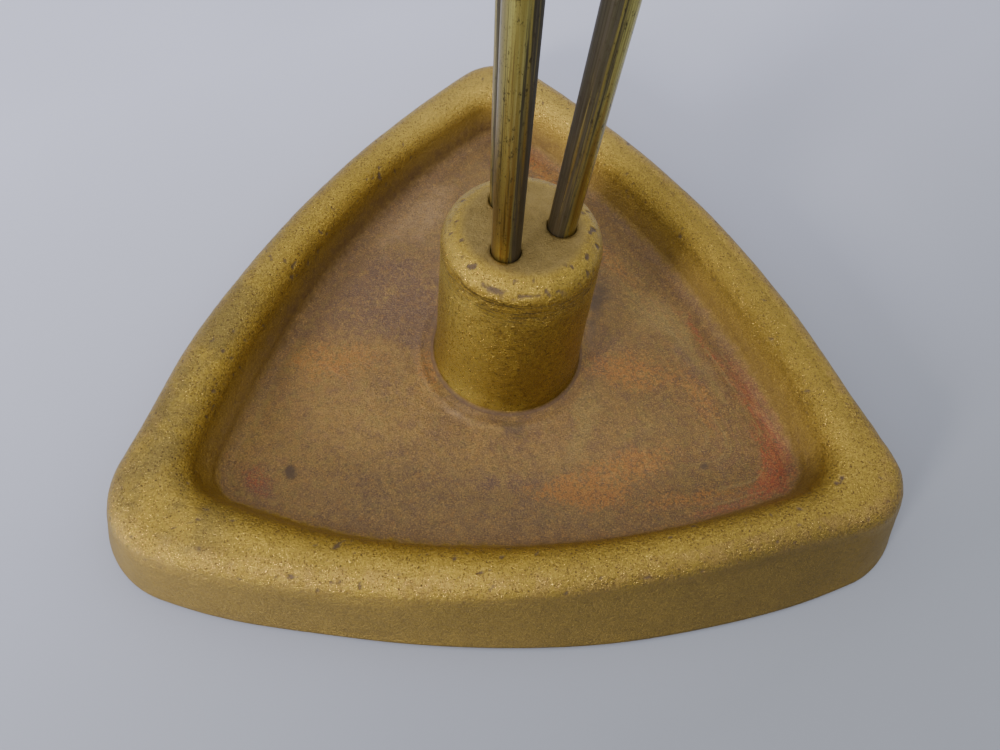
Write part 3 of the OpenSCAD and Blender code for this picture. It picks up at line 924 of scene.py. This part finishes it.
def slope_dirt_and_shade(x, y, station, mottle):
    """Dirt and painted shade down the inner slope: its mask and colour, thinner along the front,
    and thinner to the right, where the light from the left falls on the slope.
    """
    dirt_and_shade = band(station, (3.55, 5.0), (6.9, 7.2))
    dirt_and_shade = mul(dirt_and_shade, ramp(mottle, (0.25, 0.7), to=(1.0, 0.62)))
    left = mul(ramp(x, (-40, -80)), ramp(y, (15, -25)))
    front = mul(ramp(x, (20, -20)), ramp(y, (-38, -62)))
    thinned = add(mul(left, -0.15), mul(front, -0.75))
    # painted shade: thinner to the right, where the light from the left falls on the slope
    dirt_and_shade = mul(dirt_and_shade, add(ramp(x, (0, 50), to=(0.97, 0.66)), thinned))
    return dirt_and_shade, mix(left, (0.130, 0.068, 0.028), (0.215, 0.125, 0.048))


def boss_paint(gold, noises, x, station, top, wrinkles, foot):
    """Dull drilled top, worn bright shoulder, mottled wall with painted light to the left, and a
    painted shade line at its foot.
    """
    _, _, mottle, fine, grain = noises
    gold = mix(mul(top, 0.8), gold,
               mix(ramp(mottle, (0.35, 0.65)), (0.26, 0.185, 0.075), (0.34, 0.245, 0.10)))
    shoulder = band(station, (9.1, 9.35), (9.6, 9.85))
    gold = mix(mul(shoulder, 0.30), gold, (0.44, 0.300, 0.060))
    side = band(station, (7.6, 8.1), (8.8, 9.1))
    gold = mix(mul(side, 0.55), gold,
               mix(ramp(mottle, (0.40, 0.60)), (0.54, 0.395, 0.075), (0.42, 0.290, 0.060)))
    # painted light: the wall is brighter to the left, where the light falls; then dark grains
    gold = mix(mul(side, ramp(x, (2, -20), to=(0, 0.50))), gold, (0.60, 0.465, 0.105))
    gold = mix(mul(side, ramp(grain, (0.36, 0.48), to=(0.55, 0))), gold, (0.12, 0.080, 0.022))
    gold = mix(mul(side, ramp(fine, (0.36, 0.44), to=(0.55, 0))), gold, (0.13, 0.085, 0.024))
    gold = mix(mul(wrinkles, 0.85), gold, (0.075, 0.048, 0.022))
    # painted shade: a dark line round the boss foot
    return mix(mul(foot, FOOT_SHADE), gold, (0.10, 0.052, 0.022))


def specked(gold, coords, station, pit):
    """Dark specks, mostly on the rim and boss, and dark pits."""
    for scale, size, threshold, strength in SPECKS:
        wobble = noise(coords, scale=1.1, detail=2, rough=0.5, output="Color")
        warped = fed(node("VectorMath", operation="ADD"), {0: coords, 1: wobble}, 0)
        cells = node("TexVoronoi")
        distance = fed(cells, {"Vector": warped, "Scale": scale}, "Distance")
        pick = fed(node("SeparateColor"), {0: cells.outputs["Color"]}, 0)
        density = add(noise(coords, scale=0.07, detail=4, rough=0.7), 0.0)
        kept = calc("GREATER_THAN", add(pick, centred(density, 1.3)), threshold)
        spot = mul(ramp(distance, (size * 0.55, size), to=(1, 0)), kept)
        place = mul(ramp(station, (0.9, 1.5), to=(0.25, 1.0)),
                    ramp(station, (3.6, 4.6), to=(1.0, 0.3)))
        place = add(place, mul(band(station, (8.3, 8.7), (9.6, 9.9)), 0.5))
        gold = mix(mul(mul(spot, place), strength), gold, (0.085, 0.045, 0.022))
    return mix(mul(pit, 0.9), gold, (0.075, 0.040, 0.024))


def stained(under, name, colour, strength, grit, swing, blotch):
    """Lay a stain patch over a colour; grit and blotch break up its border."""
    mask = attribute(name)
    ragged = add(centred(grit, swing), centred(blotch, 2.4))
    value = add(mask, mul(ragged, add(mask, 0.08)))
    return mix(mul(ramp(value, (0.15, 0.95)), strength), under, colour)


def floor_rust(coords, noises, x, y, station, foot, grit):
    """Rust and stains on the tray floor, and painted shade round the boss foot."""
    _, _, mottle, fine, grain = noises
    edge = attribute("edge")
    flow = attribute("flow", "Vector")
    wide = noise(coords, scale=0.03, detail=5, rough=0.6, distort=0.6)
    blotch = noise(coords, scale=0.11, detail=6, rough=0.68, distort=0.5)
    cloud = noise(mapping(coords, shift=(31, 7, 3)), scale=0.24, detail=6, rough=0.72,
                  distort=0.4)
    rust = mix(ramp(wide, (0.36, 0.64)), FLOOR_TAN, FLOOR_BROWN)
    rust = mix(ramp(blotch, (0.50, 0.62), to=(0, 0.65)), rust, (0.150, 0.085, 0.040))
    rust = mix(ramp(blotch, (0.36, 0.47), to=(0.55, 0)), rust, (0.32, 0.195, 0.050))
    rust = mix(ramp(cloud, (0.53, 0.63), to=(0, 0.55)), rust, (0.235, 0.165, 0.042))
    rust = mix(ramp(cloud, (0.37, 0.46), to=(0.50, 0)), rust, (0.150, 0.078, 0.048))
    # darker to the front, back and right, more orange to the left
    rust = mix(ramp(y, (-30, -58), to=(0, 0.42)), rust, (0.118, 0.078, 0.040))
    rust = mix(ramp(y, (12, 50), to=(0, 0.38)), rust, (0.110, 0.070, 0.038))
    rust = mix(ramp(x, (10, 60), to=(0, 0.72)), rust,
               mix(ramp(cloud, (0.4, 0.6)), (0.112, 0.056, 0.014), (0.148, 0.092, 0.018)))
    rust = mix(ramp(x, (-40, -75), to=(0, 0.35)), rust,
               mix(ramp(cloud, (0.4, 0.6)), (0.29, 0.150, 0.036), (0.27, 0.170, 0.036)))
    # patch, colour, strength, border noise and its swing
    for name, colour, strength, border, swing in (
            ("olive", (0.25, 0.175, 0.052), 0.8, grit, 2.0),
            ("purple", (0.115, 0.066, 0.050), 0.75, grit, 4.2),
            ("pale", (0.33, 0.21, 0.105), 0.8, grit, 2.6),
            ("red", (0.30, 0.062, 0.022), 1.0, fine, 4.5),
            ("orange", (0.42, 0.150, 0.020), 0.55, fine, 9.0)):
        rust = stained(rust, name, colour, strength, border, swing, blotch)
    # water lines that follow the rim, mostly on the right
    lines = noise(flow, scale=0.42, detail=5, rough=0.6)
    right = mul(ramp(x, (20, 70)), ramp(edge, (18, 44), to=(1, 0)))
    rust = mix(mul(mul(right, ramp(lines, (0.48, 0.62))), 0.55), rust, (0.19, 0.095, 0.04))
    rust = mix(mul(mul(right, ramp(lines, (0.44, 0.34))), 0.45), rust, (0.30, 0.21, 0.075))
    # darker round the foot of the rim
    rim = mul(ramp(edge, (0, 9), to=(1, 0)), ramp(blotch, (0.3, 0.7), to=(0.35, 0.9)))
    rust = mix(rim, rust, (0.15, 0.082, 0.035))
    # speckle everywhere
    for speckle, span, to, colour in (
            (mottle, (0.52, 0.66), (0, 0.35), (0.34, 0.19, 0.050)),
            (mottle, (0.36, 0.46), (0.35, 0), (0.14, 0.075, 0.04)),
            (grain, (0.51, 0.66), (0, 0.6), (0.48, 0.27, 0.070)),
            (grain, (0.34, 0.49), (0.75, 0), (0.075, 0.038, 0.022)),
            (fine, (0.38, 0.46), (0.45, 0), (0.10, 0.055, 0.026)),
            (grit, (0.54, 0.68), (0, 0.40), (0.37, 0.18, 0.05))):
        rust = mix(ramp(speckle, span, to), rust, colour)
    # painted shade: a dark line round the boss foot
    rust = mix(mul(foot, FOOT_SHADE), rust, (0.10, 0.052, 0.026))
    rust = stained(rust, "dark", (0.07, 0.042, 0.026), 0.8, grit, 1.5, blotch)
    # a gold olive line survives along the foot of the rim at the left corner
    line = mul(band(station, (5.8, 6.0), (6.015, 6.04)), ramp(x, (-40, -78)))
    line = mul(line, ramp(mottle, (0.42, 0.62), to=(0, 0.45)))
    return mix(line, rust, (0.26, 0.175, 0.048))


def casting_material():
    material, shader = new_material("bronze_painted_casting")
    coords = position_mm()
    x, y = split_xy(coords)
    station, pit = attribute("prof"), attribute("pit")
    noises = [noise(coords, *row) for row in CAST_NOISES]
    _, _, mottle, fine, grain = noises
    grit = noise(coords, scale=0.55, detail=5, rough=0.75)

    wall = mul(ramp(station, (0.75, 1.25), to=(1, 0)), 1.0)
    top = ramp(station, (9.72, 10.02))
    creases = noise(mapping(coords, scale=(0.22, 0.22, 2.6)), scale=0.6, detail=5, rough=0.7,
                    distort=0.6)
    wrinkles = mul(band(station, (8.78, 8.97), (9.08, 9.26)), ramp(creases, (0.48, 0.60)))
    # painted shade: a dark line in the crease round the boss foot
    foot = mul(band(station, (6.99, 7.2), (7.5, 8.03)), ramp(mottle, (0.3, 0.6), to=(0.65, 1.0)))
    ragged = add(station, centred(mottle, 1.3))
    on_floor = mul(ramp(ragged, (5.1, 5.6)), ramp(station, (7.3, 7.8), to=(1, 0)))

    gold = rim_paint(coords, noises, x, y, station, wall)
    # dirt and painted shade down the inner slope
    dirt_and_shade, dirt_and_shade_colour = slope_dirt_and_shade(x, y, station, mottle)
    gold = mix(dirt_and_shade, gold, dirt_and_shade_colour)
    gold = boss_paint(gold, noises, x, station, top, wrinkles, foot)
    gold = specked(gold, coords, station, pit)
    rust = floor_rust(coords, noises, x, y, station, foot, grit)

    # paint is near metallic; pits, the slope's dirt and painted shade, and rust are not
    metal = mix_value(on_floor, calc("SUBTRACT", 0.97, mul(pit, 0.7)), 0.22)
    metal = mix_value(dirt_and_shade, metal, mix_value(on_floor, 0.5, 0.2))
    rough = ramp(fine, (0.3, 0.7), to=(0.27, 0.46))
    rough = mul(rough, ramp(grain, (0.50, 0.62), to=(1.0, 0.60)))
    for mask, value in ((wall, 0.50), (dirt_and_shade, 0.62), (top, 0.55)):
        rough = mix_value(mask, rough, value)
    rough = mix_value(on_floor, rough, ramp(grit, (0.3, 0.7), to=(0.5, 0.72)))
    height = add(mul(fine, 1.0), mul(grain, 0.8))
    height = add(height, mul(mottle, 0.7))
    height = calc("SUBTRACT", height, mul(wrinkles, 0.7))
    set_surface(shader, mix(on_floor, gold, rust), rough, metal,
                bump(height, distance=0.00045, strength=0.85))
    return material


# ------------------------------------------------------------------ other materials
def brass_rod_material(name, seed, black_side, tan_side, tan_colour):
    """Drawn brass with patina streaks along it; one side has gone nearly black."""
    material, shader = new_material(name)
    coords = attribute("rodco", "Vector")
    along = attribute("along")
    shift = (seed * 7.3, seed * 2.1, seed * 31.0)

    def streaks(stretch, scale, detail, rough, distort=0.0, moved=shift):
        return noise(mapping(coords, (1, 1, stretch), moved), scale, detail, rough, distort)

    def facing(angle):
        direction = (cos(radians(angle)) / ROD_R, sin(radians(angle)) / ROD_R, 0)
        return dot(coords, direction)

    streak = streaks(stretch=0.02, scale=0.55, detail=6, rough=0.68, distort=0.2)
    thin = streaks(stretch=0.012, scale=2.4, detail=4, rough=0.65)
    spots = streaks(stretch=0.45, scale=0.9, detail=6, rough=0.75)
    grain = streaks(stretch=0.6, scale=3.0, detail=3, rough=0.7)

    colour = mix(ramp(streak, (0.40, 0.60)), (0.33, 0.265, 0.065), (0.50, 0.455, 0.130))
    colour = mix(ramp(thin, (0.54, 0.66), to=(0, 0.65)), colour, (0.155, 0.095, 0.03))
    colour = mix(ramp(thin, (0.34, 0.44), to=(0.5, 0)), colour, (0.66, 0.55, 0.21))
    tanned = ramp(add(facing(tan_side), centred(streak, 2.2)), (0.25, 0.95))
    colour = mix(mul(tanned, 0.8), colour, tan_colour)
    black = ramp(add(facing(black_side), centred(streak, 3.0)), (0.35, 0.75))
    colour = mix(mul(black, 0.92), colour,
                 mix(ramp(thin, (0.45, 0.6)), (0.030, 0.024, 0.022), (0.066, 0.054, 0.046)))
    # browner towards the boss
    low = mul(ramp(along, (118, 52)), ramp(black, (0.1, 0.8), to=(1.0, 0.15)))
    colour = mix(mul(low, ramp(streak, (0.35, 0.6), to=(0.80, 0.40))), colour,
                 (0.20, 0.098, 0.024))
    # black lines and dark spots
    lines = ramp(streaks(stretch=0.008, scale=1.3, detail=3, rough=0.6,
                         moved=(shift[1], shift[0], shift[2])), (0.60, 0.64))
    colour = mix(mul(lines, 0.75), colour, (0.03, 0.022, 0.014))
    colour = mix(ramp(spots, (0.55, 0.64), to=(0, 0.85)), colour, (0.055, 0.040, 0.02))
    colour = mix(ramp(grain, (0.58, 0.70), to=(0, 0.6)), colour, (0.085, 0.062, 0.028))
    rough = mix_value(black, ramp(streak, (0.3, 0.7), to=(0.40, 0.26)), 0.5)
    set_surface(shader, colour, rough, mix_value(black, 0.9, 0.75),
                bump(add(add(thin, grain), streak), distance=0.00006, strength=0.6))
    return material


def turned_material():
    """Brass with faint turning rings."""
    material, shader = new_material("turned_brass")
    coords = position_mm()
    tarnish = noise(coords, scale=0.16, detail=5, rough=0.6)
    rings = noise(mapping(coords, scale=(0.05, 0.05, 3.0)), scale=1.0, detail=3, rough=0.6)
    fine = noise(coords, scale=1.4, detail=4, rough=0.6)
    colour = mix(ramp(tarnish, (0.4, 0.65)), (0.36, 0.27, 0.09), (0.20, 0.145, 0.055))
    colour = mix(ramp(fine, (0.6, 0.8), to=(0, 0.6)), colour, (0.06, 0.045, 0.025))
    set_surface(shader, colour, ramp(tarnish, (0.35, 0.7), to=(0.26, 0.46)), metallic=0.9,
                normal=bump(add(rings, fine), distance=0.00005, strength=0.6))
    return material


def steel_material(name, base, rust):
    material, shader = new_material(name)
    coords = position_mm()
    patches = noise(coords, scale=0.5, detail=5, rough=0.65)
    fine = noise(coords, scale=3.0, detail=3, rough=0.6)
    set_surface(shader, mix(ramp(patches, (0.52, 0.68), to=(0, 0.8)), base, rust),
                ramp(patches, (0.4, 0.7), to=(0.35, 0.62)), metallic=0.85,
                normal=bump(fine, distance=0.00004, strength=0.6))
    return material


def felt_material():
    material, shader = new_material("felt")
    coords = position_mm()
    clumps = noise(coords, scale=2.2, detail=6, rough=0.75, distort=1.2)
    fibres = noise(mapping(coords, scale=(0.6, 5.0, 2.0)), scale=1.2, detail=4, rough=0.7,
                   distort=2.0)
    colour = mix(ramp(clumps, (0.35, 0.7)), (0.030, 0.027, 0.024), (0.085, 0.078, 0.07))
    shader.inputs["Sheen Weight"].default_value = 0.4
    set_surface(shader, colour, roughness=0.95,
                normal=bump(add(clumps, fibres), distance=0.0003, strength=0.8))
    return material


def floor_material():
    """Pale floor with painted light: lighter to the back left, darker to the front right."""
    material, shader = new_material("pale_floor")
    coords = position_mm()
    cloud = noise(coords, scale=0.006, detail=3, rough=0.5)
    x, y = split_xy(coords)
    # painted light: a slant from a darker front right to a lighter back left
    painted_light_slant = add(mul(x, -0.00100), mul(y, 0.0019))
    colour = mix(ramp(painted_light_slant, (-0.28, 0.42), kind="LINEAR"),
                 (0.248, 0.256, 0.290), (0.60, 0.60, 0.74))
    colour = mix(ramp(cloud, (0.35, 0.65), to=(0, 0.10)), colour, (0.36, 0.37, 0.42))
    set_surface(shader, colour, roughness=0.6)
    return material


def use_material(ob, material):
    ob.data.materials.clear()
    ob.data.materials.append(material)


paint = casting_material()
brasses = [brass_rod_material(f"aged_brass_{row[0]}", seed, *row[3:])
           for seed, row in enumerate(RODS)]
turned = turned_material()
steel = steel_material("plain_steel", base=(0.42, 0.41, 0.38), rust=(0.22, 0.12, 0.055))
dark_steel = steel_material("dark_steel", base=(0.05, 0.05, 0.052), rust=(0.10, 0.055, 0.03))
felt = felt_material()

for piece, material in (("knob_stud", steel), ("hub_grub_screws", dark_steel),
                        ("rod_nuts", steel), ("rod_washers", steel),
                        ("corner_pads", felt), ("centre_felt", felt)):
    use_material(nodes[piece], material)

# object, material, the CAD piece it replaces, slot
finished = [(casting, paint, "cast_base", "bronze_painted_casting")]
finished += [(rod, brass, f"rod_{row[0]}", "aged_brass")
             for rod, brass, row in zip(rods, brasses, RODS)]
finished += [(hub, turned, "top_hub", "turned_brass"), (knob, turned, "knob", "turned_brass")]
for ob, material, piece, slot in finished:
    use_material(ob, material)
    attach(ob, "root")
    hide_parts(piece)

# ------------------------------------------------------------------ floor, light, camera (metres)
FLOOR_HALF = 6.0


def make_floor():
    mesh = bpy.data.meshes.new("floor")
    corners = [(x * FLOOR_HALF, y * FLOOR_HALF, 0) for x, y in ((-1, -1), (1, -1), (1, 1), (-1, 1))]
    mesh.from_pydata(corners, [], [(0, 1, 2, 3)])
    floor = link_object("floor", mesh)
    use_material(floor, floor_material())


def make_world():
    """Cool studio light, brightest above and a little to the back left."""
    world = bpy.data.worlds.new("studio")
    bpy.context.scene.world = world
    world.use_nodes = True
    open_tree(world.node_tree)
    output = node("OutputWorld")
    height = dot(node("TexCoord").outputs["Generated"], (-0.25, 0.18, 0.95))
    strength = ramp(height, (-0.15, 1.0), to=(0.42, 1.22))
    background = fed(node("Background"), {0: (0.90, 0.94, 1.0), 1: strength}, 0)
    feed(output.inputs[0], background)


def area_light(name, location, target, size, power):
    light = bpy.data.lights.new(name, "AREA")
    light.shape = "RECTANGLE"
    light.size = light.size_y = size
    light.energy = power
    ob = link_object(name, light)
    ob.location = location
    ob.rotation_mode = "QUATERNION"
    ob.rotation_quaternion = (Vector(target) - Vector(location)).to_track_quat("-Z", "Y")


def make_camera(azimuth, elevation, roll, distance, target, lens):
    """Camera that looks at the target from the front; angles in degrees, lens in mm."""
    azimuth, elevation, roll = radians(azimuth), radians(elevation), radians(roll)
    back = Vector((sin(azimuth) * cos(elevation), -cos(azimuth) * cos(elevation), sin(elevation)))
    level = Vector((cos(azimuth), sin(azimuth), 0))
    above = back.cross(level)
    right = level * cos(roll) + above * sin(roll)
    up = -level * sin(roll) + above * cos(roll)
    data = bpy.data.cameras.new("camera")
    camera = link_object("camera", data)
    data.sensor_width = 36.0
    data.lens = lens
    data.clip_start = 0.01
    data.clip_end = 50
    turn = Matrix((right, up, back)).transposed()
    camera.matrix_world = Matrix.Translation(target + back * distance) @ turn.to_4x4()
    bpy.context.scene.camera = camera


make_floor()
make_world()
area_light("key", location=(-0.72, -0.74, 0.40), target=(-0.07, -0.05, 0.0), size=0.20, power=10)
area_light("side", location=(-1.9, 0.2, 1.3), target=(0, 0, 0.05), size=1.4, power=9)
area_light("fill", location=(1.8, 0.7, 2.0), target=(0, 0, 0.1), size=2.0, power=17)
make_camera(azimuth=-7.43, elevation=59.751, roll=6.548, distance=0.24707,
            target=Vector((-0.002952, -0.008521, LIFT * MM)), lens=25.184772)
